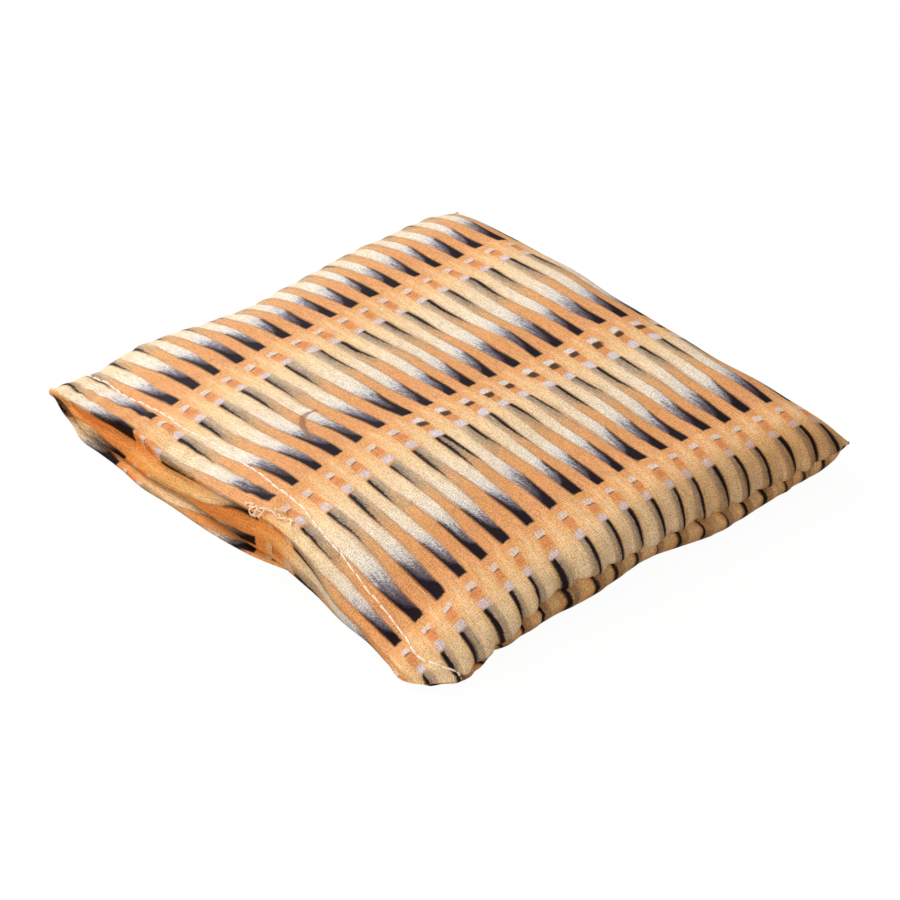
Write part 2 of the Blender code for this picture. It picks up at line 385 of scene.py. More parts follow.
def shape_details(upper):
    """The upper cloth with creases, the stitch's valley, puckers and waves."""
    x, y = upper[..., 0], upper[..., 1]
    s = S_FRONT[:, None] + 0.0 * x
    inner = (smooth(0.0, 12.0, FROM_SIDE)[None, :] * smooth(0.0, 16.0, s)
             * (1.0 - smooth(0.7, 1.5, S_TURN))[:, None])
    sharp = through(CREASE_SHARP, x)
    crease = CREASE_EDGE[0] * sharp * np.exp(-np.abs(s - CREASE_EDGE[1]) / CREASE_EDGE[2])
    hollow = BEHIND_CREASE[0] * sharp * bell(BEHIND_CREASE, s)
    tucked = UNDER_CREASE[0] * sharp * bell(UNDER_CREASE, s)
    valley = STITCH_VALLEY[0] * bell(STITCH_VALLEY, s)
    ripple = np.sin(0.95 * x + 0.12 * s + 0.9 * np.sin(0.31 * x))
    hem_wave = HEM_WAVE[0] * ripple * bell(HEM_WAVE, s)
    face_wave = FACE_WAVE[0] * np.sin(0.42 * x + 1.0) * bell(FACE_WAVE, s)
    in_from_sides = smooth(0.0, 5.0, FROM_SIDE)[None, :]
    off = (crease + hollow + tucked + valley + hem_wave + face_wave) * in_from_sides
    off = off + puckers(upper, PUCKER_FADE) * smooth(0.0, 10.0, s) * np.cos(S_TURN)[:, None]
    off = off + waves(x, y) * inner
    return upper + outward(upper) * off[..., None]


def lower_details(lower):
    """The lower cloth with its puckers."""
    off = puckers(lower, UNDER_FADE) * np.cos(S_TURN)[:, None] * smooth(0.0, 8.0, S_FRONT)[:, None]
    return lower - outward(lower) * off[..., None]


# The print was laid on the cloth unevenly: (row, mm or rows by which the print runs ahead).
DRIFT_AT = (-45, 0, 37, 48)
ACROSS_AT_RIGHT = ((-6.5, -3.6), (-4.5, -2.5), (-3, -1.8), (-0.8, -0.4), (1, 1), (3, 0), (9, -0.5))
DRIFT_ACROSS = (
    ((-6, -0.7), (-2, -0.4), (2, 0.3), (6, -0.4), (9, 0.8)),
    ((-6, -0.4), (-4, -1), (-2, 0.3), (0, 0.8), (2, 0), (5, -0.5), (9, 0)),
    ACROSS_AT_RIGHT, ACROSS_AT_RIGHT,
)
DRIFT_ALONG = (
    ((-6, 0.38), (-3, 0.42), (-1, 0.40), (1, 0.25), (5, 0.25), (9, 0.12)),
    ((-6, 0), (-2, 0.10), (0, 0.06), (1, 0.10), (3, 0.26), (6, 0.18), (9, 0.10)),
    ((-6.5, 0.32), (-4, 0.15), (-1.5, 0.16), (0, 0.06), (2, 0), (4, 0.12), (8, 0.2), (10, 0.2)),
    ((-6.5, 0.46), (-5, 0.5), (-3, 0.3), (-1.5, 0.42), (0, 0.18), (3, 0.24), (6, 0.48), (10, 0.42)),
)


def drift(tables, u, rows):
    """How far the print runs ahead, from a table for each place across."""
    lines = [through(table, rows) for table in tables]
    total = lines[0]
    for k in range(1, len(lines)):
        total = total + (lines[k] - lines[k - 1]) * smooth(DRIFT_AT[k - 1], DRIFT_AT[k], u)
    return total


def print_places(top, under):
    """Cloth places as mm across the print's bands and rows along them."""
    u, rows = top[..., 0], top[..., 1] / ROW_PITCH
    across, along_it = drift(DRIFT_ACROSS, u, rows), drift(DRIFT_ALONG, u, rows)
    printed = rows + along_it
    back = printed[-1:, :]
    settle = 2.0 * (FOLD_ROW - back) * smooth(0.0, 4.0, back - printed)
    return (np.stack([u + across, printed], -1),
            np.stack([under[..., 0] + across, 2.0 * back - printed + settle], -1))


# ---- meshes ----
CLOTH_MM = 0.9  # the hem's two layers of cloth
HEM_THICK, PLAIN_THICK = 1.0, 0.5  # thickness as shares of that
RIM_THICK, RIM_GAIN, EDGE_ROUND = 0.55, 0.45, 1.5  # the hem thins out toward its rim
GATHER_SIDE, GATHER_FRONT, GATHER_THIN = (5.0, 11.0), (14.0, 24.0), 0.92
THREAD_SIDES, THREAD_BLUNT, THREAD_TIP = 6, 0.55, 0.4
# where shade is painted into the cloth's colour: on the face under the hem up to x, and below z on the
# lower cloth near the floor
SHADE_X, SHADE_Z, LOWER_SHADE_SHARE = (8.0, 26.0), (1.0, 5.0), 0.6


def mesh_object(name, points, faces, places=None):
    """A mesh object, with each face corner's place on the cloth."""
    mesh = bpy.data.meshes.new(name)
    mesh.from_pydata((points * MM).tolist(), [], faces)
    if places is not None:
        layer = mesh.uv_layers.new(name="cloth")
        layer.data.foreach_set("uv", np.asarray(places, np.float32).ravel())
    mesh.polygons.foreach_set("use_smooth", [True] * len(mesh.polygons))
    mesh.update()
    obj = bpy.data.objects.new(name, mesh)
    bpy.context.scene.collection.objects.link(obj)
    return obj


def thicken(obj, thickness, offset):
    """Give a sheet of cloth its thickness, in mm."""
    solid = obj.modifiers.new("cloth thickness", "SOLIDIFY")
    solid.thickness = thickness * MM
    solid.offset = offset
    return solid


def quads(index):
    """The four-cornered faces of a grid."""
    corners = [index[:-1, :-1], index[:-1, 1:], index[1:, 1:], index[1:, :-1]]
    return np.stack(corners, -1).reshape(-1, 4)


def cloth_thickness():
    """Thickness by grid point, thin at the rim and where the front corners gather."""
    at_side = 1.0 - smooth(*GATHER_SIDE, FROM_SIDE)
    at_front = 1.0 - smooth(*GATHER_FRONT, S_FRONT)
    layers = np.where(S_FRONT <= STITCH_S, HEM_THICK, PLAIN_THICK)
    whole = layers * (RIM_THICK + RIM_GAIN * np.minimum(1.0, S_FRONT / EDGE_ROUND))
    return np.round(whole[:, None] * (1.0 - GATHER_THIN * (at_side[None, :] * at_front[:, None])), 2)


def painted_shade_shares(upper, lower):
    """Share of painted shade at each point, from 0 to 1: the face under the hem's crease, and the lower
    cloth near the floor.
    """
    face = 1.0 - smooth(CREASE_S - 0.8, CREASE_S + 0.1, S_FRONT)[:, None]
    over = face * (1.0 - smooth(*SHADE_X, upper[..., 0]))
    under = (1.0 - smooth(*SHADE_Z, lower[..., 2])) * LOWER_SHADE_SHARE
    return np.concatenate([over.ravel(), under.ravel()])


def pouch_mesh(upper, lower, top, under):
    """One cloth: both panels, joined at the sides and the back, open at the mouth."""
    first = np.arange(N_ROWS * N_COLUMNS).reshape(N_ROWS, N_COLUMNS)
    second = first.copy()
    inner = lower[:-1, 1:-1]
    second[:-1, 1:-1] = first.size + np.arange(inner[..., 0].size).reshape(inner.shape[:2])
    points = np.concatenate([upper.reshape(-1, 3), inner.reshape(-1, 3)])
    up_faces, low_faces = quads(first), quads(second)[:, ::-1]
    up_places = top.reshape(-1, 2)[quads(first)]
    low_places = under.reshape(-1, 2)[quads(first)[:, ::-1]]
    obj = mesh_object("pouch_cloth", points, np.concatenate([up_faces, low_faces]).tolist(),
                      np.concatenate([up_places, low_places]))
    hem = obj.vertex_groups.new(name="hem")
    weights = cloth_thickness()
    for weight in np.unique(weights):
        chosen = np.concatenate([first[weights == weight], second[weights == weight]])
        hem.add(np.unique(chosen).tolist(), float(weight), "REPLACE")
    # painted shade: how much of the fold's darker, warmer tint each point takes
    shade = obj.data.attributes.new("painted_shade", "FLOAT", "POINT")
    shade.data.foreach_set("value", painted_shade_shares(upper, inner).astype(np.float32))
    thicken(obj, CLOTH_MM, -1.0).vertex_group = "hem"
    return obj


def tube(path, radius):
    """Points and faces of a closed thread along a path."""
    ahead = np.gradient(path, axis=0)
    ahead /= np.linalg.norm(ahead, axis=1, keepdims=True)
    side = np.cross(ahead, (0.0, 0.0, 1.0))
    side /= np.maximum(np.linalg.norm(side, axis=1, keepdims=True), 1e-6)
    up = np.cross(side, ahead)
    n, sides = len(path), THREAD_SIDES
    girth = np.full(n, radius)
    girth[[0, -1]] *= THREAD_BLUNT
    angle = 2.0 * np.pi * np.arange(sides) / sides
    ring = side[:, None] * np.cos(angle)[None, :, None] + up[:, None] * np.sin(angle)[None, :, None]
    points = (path[:, None] + ring * girth[:, None, None]).reshape(-1, 3)
    tips = [path[:1] - ahead[:1] * radius * THREAD_TIP, path[-1:] + ahead[-1:] * radius * THREAD_TIP]

    around = [(k, (k + 1) % sides) for k in range(sides)]
    faces = [[i * sides + k, (i + 1) * sides + k, (i + 1) * sides + m, i * sides + m]
             for i in range(n - 1) for k, m in around]
    last = (n - 1) * sides
    faces += [[n * sides, k, m] for k, m in around]
    faces += [[n * sides + 1, last + m, last + k] for k, m in around]
    return np.concatenate([points] + tips), faces


def thread_object(name, paths, radius):
    """One object of many threads."""
    points, faces, start = [], [], 0
    for path in paths:
        more, around = tube(path, radius)
        points.append(more)
        faces += [[start + i for i in face] for face in around]
        start += len(more)
    return mesh_object(name, np.concatenate(points), faces)


# ---- node trees ----
def linear(r, g, b):
    """An sRGB colour of 0 to 255 as the linear one that a shader takes."""
    return tuple(c / 12.92 if c <= 0.04045 else ((c + 0.055) / 1.055) ** 2.4
                 for c in (r / 255.0, g / 255.0, b / 255.0)) + (1.0,)


class Term:
    """A value in a node tree, so that sums read as sums."""
    tree = None

    def __init__(self, socket):
        self.socket = socket

    def __abs__(self):
        return calc("ABSOLUTE", self)


def feed(socket, value):
    """Link a Term to a socket, or set a plain value there."""
    if isinstance(value, Term):
        Term.tree.links.new(value.socket, socket)
    else:
        socket.default_value = value


def feed_all(node, values):
    """Feed a node's inputs by their names."""
    for name, value in values.items():
        feed(node.inputs[name], value)


def node_of(kind):
    """A new node in the tree at hand."""
    return Term.tree.nodes.new("ShaderNode" + kind)


def calc(operation, *values):
    """The Math node's result."""
    node = node_of("Math")
    node.operation = operation
    for socket, value in zip(node.inputs, values):
        feed(socket, value)
    return Term(node.outputs[0])


def operator(operation, swapped):
    """A method of Term that makes one Math node."""
    if swapped:
        return lambda self, other: calc(operation, other, self)
    return lambda self, other: calc(operation, self, other)


for sign, operation in (("add", "ADD"), ("sub", "SUBTRACT"), ("mul", "MULTIPLY"), ("truediv", "DIVIDE")):
    setattr(Term, f"__{sign}__", operator(operation, False))
    setattr(Term, f"__r{sign}__", operator(operation, True))


def step(x, low, high):
    """0 below low and 1 above high, smooth between; the other way where high is lower."""
    node = node_of("MapRange")
    node.interpolation_type = "SMOOTHSTEP"
    rising = low < high
    feed_all(node, {"Value": x, "From Min": min(low, high), "From Max": max(low, high),
                    "To Min": 0.0 if rising else 1.0, "To Max": 1.0 if rising else 0.0})
    return Term(node.outputs["Result"])


def below(x, limit, soft):
    """1 where x is under limit, 0 over it, soft mm wide."""
    return step(x - limit, 0.5 * soft, -0.5 * soft)


def curve(table, x):
    """A value through a short table of (place, value) pairs."""
    places, values = [p for p, _ in table], [v for _, v in table]
    start, length = places[0], places[-1] - places[0]
    least, most = min(values), max(values)
    node = node_of("FloatCurve")
    line = node.mapping.curves[0]
    while len(line.points) < len(table):
        line.points.new(0.5, 0.5)
    for point, (place, value) in zip(line.points, table):
        point.location = ((place - start) / length, (value - least) / (most - least))
        point.handle_type = "AUTO_CLAMPED"
    node.mapping.update()
    feed(node.inputs["Value"], (x - start) * (1.0 / length))
    return Term(node.outputs[0]) * (most - least) + least


def ramp(stops, x):
    """A colour through a short table of (place, sRGB colour) pairs."""
    start, length = stops[0][0], stops[-1][0] - stops[0][0]
    node = node_of("ValToRGB")
    line = node.color_ramp
    while len(line.elements) < len(stops):
        line.elements.new(0.5)
    for element, (place, _) in zip(line.elements, stops):
        element.position = (place - start) / length
    for element, (_, colour) in zip(line.elements, stops):
        element.color = linear(*colour)
    feed(node.inputs["Fac"], (x - start) * (1.0 / length))
    return Term(node.outputs["Color"])


def mixed(a, b, share, how="MIX"):
    """Colour a, mixed with that share of colour b."""
    node = node_of("Mix")
    node.data_type = "RGBA"
    node.blend_type = how
    feed(node.inputs["Factor"], share)
    for name, colour in (("A", a), ("B", b)):
        feed(node.inputs[name], linear(*colour) if isinstance(colour, tuple) else colour)
    return Term(node.outputs["Result"])


def vector(x, y, z):
    """Three values as one."""
    node = node_of("CombineXYZ")
    for socket, value in zip(node.inputs, (x, y, z)):
        feed(socket, value)
    return Term(node.outputs[0])


def toned(colour, tone):
    """A colour, lighter or darker by a factor."""
    return mixed(colour, vector(tone, tone, tone), 1.0, "MULTIPLY")


def tinted(colour, tint, share):
    """A colour that takes that share of a tint."""
    return mixed(colour, mixed(colour, tint, 1.0, "MULTIPLY"), share)


def noise(x, y, z, detail=2.0, rough=0.5):
    """Soft noise about 0, mostly within -0.5 and 0.5."""
    node = node_of("TexNoise")
    node.noise_dimensions = "3D"
    feed_all(node, {"Vector": vector(x, y, z), "Scale": 1.0, "Detail": detail, "Roughness": rough})
    return Term(node.outputs[0]) - 0.5


def chance(x, y, z):
    """The same random value from 0 to 1 for the same three whole numbers."""
    node = node_of("TexWhiteNoise")
    node.noise_dimensions = "3D"
    feed(node.inputs["Vector"], vector(x, y, z))
    return Term(node.outputs["Value"])


# ---- the wicker print ----
# Its cell: B bands stand REPEAT mm apart, with an A band A_BAND mm right of each.
A_BAND, REPEAT = 42.0, 87.0
# heights and colours of the leaves, from one band's middle to the next, stretched to BAND_PITCH
LEAF_HEIGHT = ((0, 2.5), (5, 2.75), (12, 2.75), (18, 2.55), (24, 2.8), (31, 3.35), (37.7, 3.7),
               (43.5, 3.75))
LEAF_COLOURS = ((0, (200, 178, 154)), (6, (202, 180, 156)), (11, (206, 180, 150)),
                (15, (214, 176, 134)), (18, (225, 173, 122)), (22, (227, 168, 113)),
                (30, (227, 162, 107)), (38, (229, 168, 116)), (43.5, (241, 189, 138)))
WEDGE_COLOURS = ((0, (243, 193, 138)), (3, (245, 202, 150)), (7, (245, 209, 164)),
                 (12, (242, 216, 182)), (17, (240, 225, 204)), (22.5, (238, 229, 218)),
                 (25.5, (212, 209, 212)), (28, (152, 149, 160)), (30, (116, 110, 121)),
                 (33, (84, 75, 86)), (36, (54, 42, 54)), (43.5, (38, 26, 38)))
# thickness of the bars, by mm after a band's middle, and of the wedges, by mm before the next one's
BAR_THICK = ((5.0, 0.86), (9, 0.82), (12, 0.64), (14.5, 0.34), (17.5, -0.1))
WEDGE_THICK = ((4.0, 3.4), (7.2, 3.1), (8.2, 2.3), (9.4, 1.5), (11.2, 0.95), (13.5, 0.72),
               (15.8, 0.46), (18, -0.1))
BAR_START, BAR_EARLIER = 5.6, 0.8  # where bars start, and how much sooner after an A band
WALL_WIDE, WALL_BAR = 5.0, 0.3  # the bars print heavier down the right wall
WALL_SHADE_TINT, WALL_SHADE_ROWS = (230, 208, 182), 12.0  # painted shade: the wall is tinted warmer and darker toward the back
DARK = (23, 12, 22)
BROWN_LINE = (168, 108, 62)
DUSK = (106, 94, 90)
LEAF_GLOW, LEAF_DIM = (250, 232, 200), (208, 172, 132)
GAP_GROUND, GAP_SHADE = (233, 174, 119), (226, 158, 100)
CROSSING_LEFT, CROSSING_RIGHT, CROSSING_LINE = (238, 174, 114), (245, 205, 156), (250, 222, 180)
# the marks on a band's gap rows: (middle, width, height, colour), mm from the band's middle
DARK_MARKS = ((-2.15, 1.9, 2.3, (230, 226, 228)), (1.9, 2.3, 2.1, (224, 154, 102)),
              (4.35, 2.5, 2.3, (222, 219, 232)), (-0.42, 1.7, 2.5, (24, 12, 17)))
PLAIN_MARKS = ((-1.65, 1.7, 2.4, (227, 216, 210)), (0.65, 2.3, 2.2, (222, 142, 90)),
               (3.95, 2.1, 2.2, (218, 215, 230)), (-0.72, 0.42, 1.7, (112, 74, 60)))

Cell = namedtuple("Cell", "second number start before even")
Leaves = namedtuple("Leaves", "row off half edge far jitter other")
Dye = namedtuple("Dye", "streak blotch grain at_wall")


def cell_at(u):
    """The cell at u: which one, and mm from the bands at its start and end."""
    turn = calc("FLOOR", u * (1.0 / REPEAT))
    p = u - turn * REPEAT
    second = calc("GREATER_THAN", p, A_BAND)
    s = p - second * A_BAND
    width = second * (REPEAT - 2.0 * A_BAND) + A_BAND
    return Cell(second, turn * 2.0 + second, s, width - s, s / width * BAND_PITCH)


def leaves_at(cell, rows, offset, tall, seed):
    """One set of leaves, edged on the side away from row 0, and on both sides at row 0."""
    number = calc("ROUND", rows - offset)
    row = number + offset
    jitter = chance(number, cell.number, seed)
    other = chance(number, cell.number, seed + 11.0)
    off = (rows - row) * ROW_PITCH + (other - 0.5) * 0.25
    facing = step(row, 0.1, 0.15) * 2.0 - 1.0
    both = step(abs(row), 0.3, 0.2)
    toward = off * facing
    toward = toward + (abs(off) - toward) * both
    half = tall * 0.5 * (0.92 + 0.16 * jitter)
    return Leaves(row, off, half, half - toward, half + toward, jitter, other)


def dye_at(u, rows):
    """Streaks of dye along the leaves, blotches, and the grain of the printing."""
    v = rows * ROW_PITCH
    streak = noise(u * 0.22, rows * 12.0, 1.0, 3.0, 0.65) * 1.8
    blotch = noise(u * 0.35, rows * 2.4, 5.0, 3.0, 0.6) * 1.5
    at_wall = step(u, A_BAND, A_BAND + WALL_WIDE)
    grain = noise((u + v) * 0.8, (u - v) * 2.6, 6.0, 2.0, 0.6) * (2.2 - at_wall * 1.5)
    return Dye(streak, blotch, grain, at_wall)


def bar_leaves(cell, leaf, dye):
    """Colour of the leaves that start with a thin dark bar."""
    even, streak, grain = cell.even, dye.streak, dye.grain
    colour = ramp(LEAF_COLOURS, even + streak * 9.0 + grain * 5.0 + (leaf.jitter - 0.5) * 3.0)
    dusk = step(leaf.edge + streak * 1.4 + grain * 0.9, 2.9, 0.2) * step(even + grain * 4.0, 20.0, 8.0)
    colour = mixed(colour, DUSK, dusk * 0.8)
    rim = step(leaf.far, 0.42, 0.1) * step(even, 9.0, 18.0) * step(even, 40.0, 32.0)
    rim = rim + step(leaf.edge, 0.42, 0.1) * step(even, 12.0, 15.0) * step(even, 30.0, 20.0)
    colour = mixed(colour, BROWN_LINE, rim * 0.5)
    place = calc("MAXIMUM", cell.start + (leaf.other - 0.5) * 4.5, BAR_THICK[0][0])
    bar = curve(BAR_THICK, place) * (0.8 + 0.45 * leaf.jitter)
    bar = bar + dye.at_wall * WALL_BAR
    start = BAR_START - BAR_EARLIER * cell.second
    bar_on = (below(leaf.edge + streak * 0.5 + grain * 0.35, bar, 0.4)
              * step(cell.start - start + streak * 0.4, -0.1, 0.3))
    bar_on = bar_on * step(bar, 0.0, 0.15)
    return mixed(colour, DARK, bar_on * 0.97)


def wedge_leaves(cell, leaf, dye):
    """Colour of the leaves that end in a dark wedge."""
    even, streak, blotch, grain = cell.even, dye.streak, dye.blotch, dye.grain
    shade = even + streak * 8.0 + grain * 6.5 + (leaf.jitter - 0.5) * 3.5 + (leaf.edge - 1.2) * -0.9
    colour = ramp(WEDGE_COLOURS, shade)
    glow = below(abs(leaf.off) + blotch, leaf.half * 0.5, 1.0) * step(even, 24.0, 12.0)
    colour = mixed(colour, LEAF_GLOW, glow * 0.3)
    dim = step(leaf.far + blotch * 0.8, 1.0, 0.2) * step(even, 4.0, 12.0) * step(even, 34.0, 26.0)
    colour = mixed(colour, LEAF_DIM, dim * 0.4)
    rim = step(leaf.edge, 0.4, 0.1) * step(even, 12.0, 18.0) * step(even, 30.0, 26.0)
    rim = rim + step(leaf.far, 0.4, 0.1) * step(even, 10.0, 20.0) * step(even, 42.0, 36.0)
    colour = mixed(colour, BROWN_LINE, rim * 0.4)
    place = calc("MAXIMUM", cell.before + (leaf.other - 0.5) * 3.0, WEDGE_THICK[0][0])
    wedge = curve(WEDGE_THICK, place) * (0.86 + 0.28 * leaf.jitter)
    wedge_on = below(leaf.edge + streak * 1.1 + grain * 1.1, wedge, 0.7) * step(wedge, 0.0, 0.25)
    return mixed(colour, DARK, wedge_on * 0.95)


def spot(across, along_it, middle, wide, tall):
    """A soft, rounded mark of the print."""
    x = calc("POWER", abs((across - middle) * (2.0 / wide)), 3.0)
    y = calc("POWER", abs(along_it * (2.0 / tall)), 3.0)
    return step(x + y, 2.6, 0.1)


def marked(colour, marks, share, across, along_it):
    """A colour with a set of marks on it."""
    for middle, wide, tall, mark in marks:
        colour = mixed(colour, mark, spot(across, along_it, middle, wide, tall) * share)
    return colour


def bands(cell, bars, wedges, dye):
    """Colour of the bands between the leaves' ends, and where they show."""
    streak, blotch = dye.streak, dye.blotch
    near_left = step(cell.start - cell.before, 0.01, -0.01)
    near_right = 1.0 - near_left
    at_band = cell.start * near_left - cell.before * near_right
    is_b = near_left * (1.0 - cell.second) + near_right * cell.second
    reach = is_b * 0.8 + 4.75
    gap_off = bars.off * near_left + wedges.off * near_right
    gap_row = bars.row * near_left + wedges.row * near_right
    in_gap = below(abs(gap_off) + blotch * 0.8, 1.25, 0.8)
    sideways = abs(at_band) + streak * 0.35
    in_band = below(sideways, reach, 0.6) * in_gap + below(sideways, reach, 3.0) * (1.0 - in_gap)

    luck = chance(gap_row, cell.number + near_left * 3.0, 21.0)
    wiggle = at_band + blotch * 0.7 + (luck - 0.5) * 0.5
    ground = mixed(GAP_GROUND, GAP_SHADE, step(blotch, -0.3, 0.3))
    plain_gap = marked(ground, PLAIN_MARKS, 0.74, wiggle, gap_off + blotch * 0.4)
    dark_gap = marked(ground, DARK_MARKS, 0.88, wiggle, gap_off + blotch * 0.4)
    gap_colour = mixed(plain_gap, dark_gap, is_b * step(gap_row, -0.6, -0.4))
    crossing = mixed(CROSSING_LEFT, CROSSING_RIGHT, step(at_band + blotch * 3.0, -6.0, 6.5))
    from_line = abs(abs(gap_off) - 0.5 * ROW_PITCH)
    crossing = mixed(crossing, CROSSING_LINE, below(from_line + streak * 0.8, 0.5, 0.9) * 0.4)
    return mixed(crossing, gap_colour, in_gap), in_band


def wicker(u, rows):
    """Colour of the print at u mm across its bands and so many rows along, with painted shade down the
    right wall.
    """
    sway = noise(u * 0.06, rows * 1.1, 3.0, 1.0)
    shift = noise(u * 0.10, rows * 0.8, 9.0, 1.0)
    fray = noise(u * 1.6, rows * 11.0, 4.0, 2.0, 0.6)
    rows = rows + sway * 0.28 + fray * 0.05
    u = u + shift * 1.8 + fray * 0.45
    cell, dye = cell_at(u), dye_at(u, rows)
    height = curve(LEAF_HEIGHT, cell.even)
    offset = cell.second * 0.5
    bars = leaves_at(cell, rows, offset, height, 1.0)
    wedges = leaves_at(cell, rows, 0.5 - offset, ROW_PITCH - height, 5.0)

    in_bars = below(abs(bars.off) - bars.half, 0.0, 0.75)
    colour = mixed(wedge_leaves(cell, wedges, dye), bar_leaves(cell, bars, dye), in_bars)
    colour = mixed(colour, *bands(cell, bars, wedges, dye))
    colour = toned(colour, 1.0 + dye.streak * 0.24 + dye.blotch * 0.20 + dye.grain * 0.14)
    # painted shade: the right wall tinted warmer and darker toward the back
    return tinted(colour, WALL_SHADE_TINT, dye.at_wall * step(rows, 0.0, WALL_SHADE_ROWS))


# painted shade of a small curved wrinkle, drawn as a brown stroke over the pouch's print: (along the
# cloth's diagonal, across it), mm
WRINKLE_SHADE_PATH = ((-7.7, -23.3), (-7.0, -24.8), (-4.5, -25.8), (-0.4, -25.0), (2.9, -23.4))
WRINKLE_SHADE_COLOUR = (142, 100, 78)


def painted_wrinkle_shade(colour, u, v):
    """The print's colour with the wrinkle's painted shade, a brown stroke, over it."""
    ahead, aside = (u - v) * math.sqrt(0.5), (u + v) * math.sqrt(0.5)
    near = calc("MINIMUM", calc("MAXIMUM", ahead, WRINKLE_SHADE_PATH[0][0]), WRINKLE_SHADE_PATH[-1][0])
    wobble = noise(u * 0.8, v * 0.8, 15.0, 2.0)
    off = abs(aside - curve(WRINKLE_SHADE_PATH, near)) + abs(ahead - near)
    # painted shade: brown along the small wrinkle's curve
    return mixed(colour, WRINKLE_SHADE_COLOUR, step(off + wobble * 0.8, 1.15, 0.3) * 0.75)


# ---- materials ----
WEAVE_PITCH, WEFT_RATE = 0.52, 0.93  # mm between threads, and the weft's share of their number
FOLD_SHADE_TINT = (255, 220, 172)  # painted shade and warm bounce light, in the fold under the hem and low on the lower cloth
BUMP_STRENGTH, BUMP_MM = 0.5, 0.06
CLOTH_SURFACE = {"Roughness": 0.55, "Specular IOR Level": 0.07, "Sheen Weight": 0.01,
                 "Sheen Roughness": 0.4}
STITCH_THREAD = {"Base Color": linear(255, 247, 236), "Roughness": 0.6, "Sheen Weight": 0.2}
TACK_THREAD = {"Base Color": linear(252, 226, 196), "Roughness": 0.65, "Sheen Weight": 0.15}
FLOOR_PAPER = {"Base Color": (0.05, 0.05, 0.05, 1.0), "Roughness": 0.9, "Specular IOR Level": 0.0,
               "Emission Color": (1.0, 1.0, 1.0, 1.0), "Emission Strength": 0.96}


def material_of(name, surface):
    """A material with these inputs of its shader set."""
    material = bpy.data.materials.new(name)
    material.use_nodes = True
    feed_all(material.node_tree.nodes["Principled BSDF"], surface)
    return material


def weave_at(u, v):
    """The plain weave's threads, its fibres and its thicker threads."""
    turn = 2.0 * math.pi / WEAVE_PITCH
    bend = noise(u * 0.2, v * 0.2, 2.0) * 2.5 + noise(u * 1.4, v * 1.4, 3.0) * 2.4
    warp = calc("SINE", u * turn + bend)
    weft = calc("SINE", v * turn * WEFT_RATE - bend)
    fibre = noise(u * 2.8, v * 2.8, 7.0, 3.0, 0.7)
    slub = noise(u * 0.5, v * 3.6, 8.0, 2.0, 0.6) + noise(u * 3.4, v * 0.5, 12.0, 2.0, 0.6)
    return warp * weft * 0.45 + warp * 0.35 + weft * 0.2, fibre, slub


def printed_cloth(name, wrinkle_shade=False):
    """Woven cloth with the wicker print, with or without the small wrinkle's painted shade."""
    material = material_of(name, CLOTH_SURFACE)
    Term.tree = material.node_tree
    shader = Term.tree.nodes["Principled BSDF"]
    place = node_of("UVMap")
    place.uv_map = "cloth"
    parts = node_of("SeparateXYZ")
    feed(parts.inputs[0], Term(place.outputs[0]))
    u, rows = Term(parts.outputs[0]), Term(parts.outputs[1])
    v = rows * ROW_PITCH
    colour = wicker(u, rows)
    if wrinkle_shade:
        # painted shade of a small wrinkle, over the print
        colour = painted_wrinkle_shade(colour, u, v)
    weave, fibre, slub = weave_at(u, v)
    colour = toned(colour, 1.0 + weave * 0.2 + fibre * 2.1 + slub * 0.6)
    shade_attribute = node_of("Attribute")
    shade_attribute.attribute_name = "painted_shade"
    # painted shade: the cloth tinted darker and warmer in the fold under the hem and low on the lower
    # cloth
    feed(shader.inputs["Base Color"], tinted(colour, FOLD_SHADE_TINT, Term(shade_attribute.outputs["Fac"])))

    bump = node_of("Bump")
    feed_all(bump, {"Strength": BUMP_STRENGTH, "Distance": BUMP_MM * MM, "Height": weave + fibre * 1.2})
    feed(shader.inputs["Normal"], Term(bump.outputs[0]))
    return material


# ---- the pouch ----
upper_plain = upper_panel()
lower_plain = lower_panel(upper_plain)
upper_fine = shape_details(upper_plain)
upper_normals = outward(upper_fine)
pouch_places = print_places(*cloth_places(upper_plain, lower_plain))
pouch = pouch_mesh(upper_fine, lower_details(lower_plain), *pouch_places)
pouch.data.materials.append(printed_cloth("wicker_print", wrinkle_shade=True))

# ---- stitching along the hem ----
STITCH_LONG, STITCH_GAP, STITCH_RADIUS = 2.8, 0.1, 0.24
STITCH_FROM_LEFT, STITCH_FROM_RIGHT = 1.2, 1.0  # how far the row keeps from the side seams
STITCH_ARCH, STITCH_SUNK, STITCH_ASIDE, STITCH_POINTS = 0.26, 0.12, 0.10, 7


def run_along(line):
    """Distance along a line of points, at each of them."""
    return np.concatenate([[0.0], np.cumsum(np.linalg.norm(np.diff(line, axis=0), axis=1))])


def between(x, places, points):
    """Points at x, straight between the points given at some places."""
    return np.stack([np.interp(x, places, points[:, k]) for k in range(3)], -1)


def stitch_paths():
    """The thread of every stitch, from the left seam to the right one."""
    row = int(np.argmin(np.abs(S_FRONT - STITCH_S)))
    line, lift = upper_fine[row], upper_normals[row]
    run = run_along(line)
    part = np.linspace(0.0, 1.0, STITCH_POINTS)
    arch = STITCH_ARCH * np.sin(np.pi * part) ** 0.5 - STITCH_SUNK
    paths, start = [], STITCH_FROM_LEFT
    while start + STITCH_LONG < run[-1] - STITCH_FROM_RIGHT:
        length = STITCH_LONG * RANDOM.uniform(0.9, 1.1)
        at, normal = (between(start + length * part, run, field) for field in (line, lift))
        sideways = RANDOM.normal(0.0, STITCH_ASIDE) + RANDOM.normal(0.0, STITCH_ASIDE) * (part - 0.5)
        paths.append(at + normal * arch[:, None] + np.array([0.0, 1.0, 0.0]) * sideways[:, None])
        start += length + STITCH_GAP * RANDOM.uniform(0.6, 1.5)
    return paths


hem_stitches = thread_object("hem_stitches", stitch_paths(), STITCH_RADIUS)
hem_stitches.data.materials.append(material_of("white_thread", STITCH_THREAD))

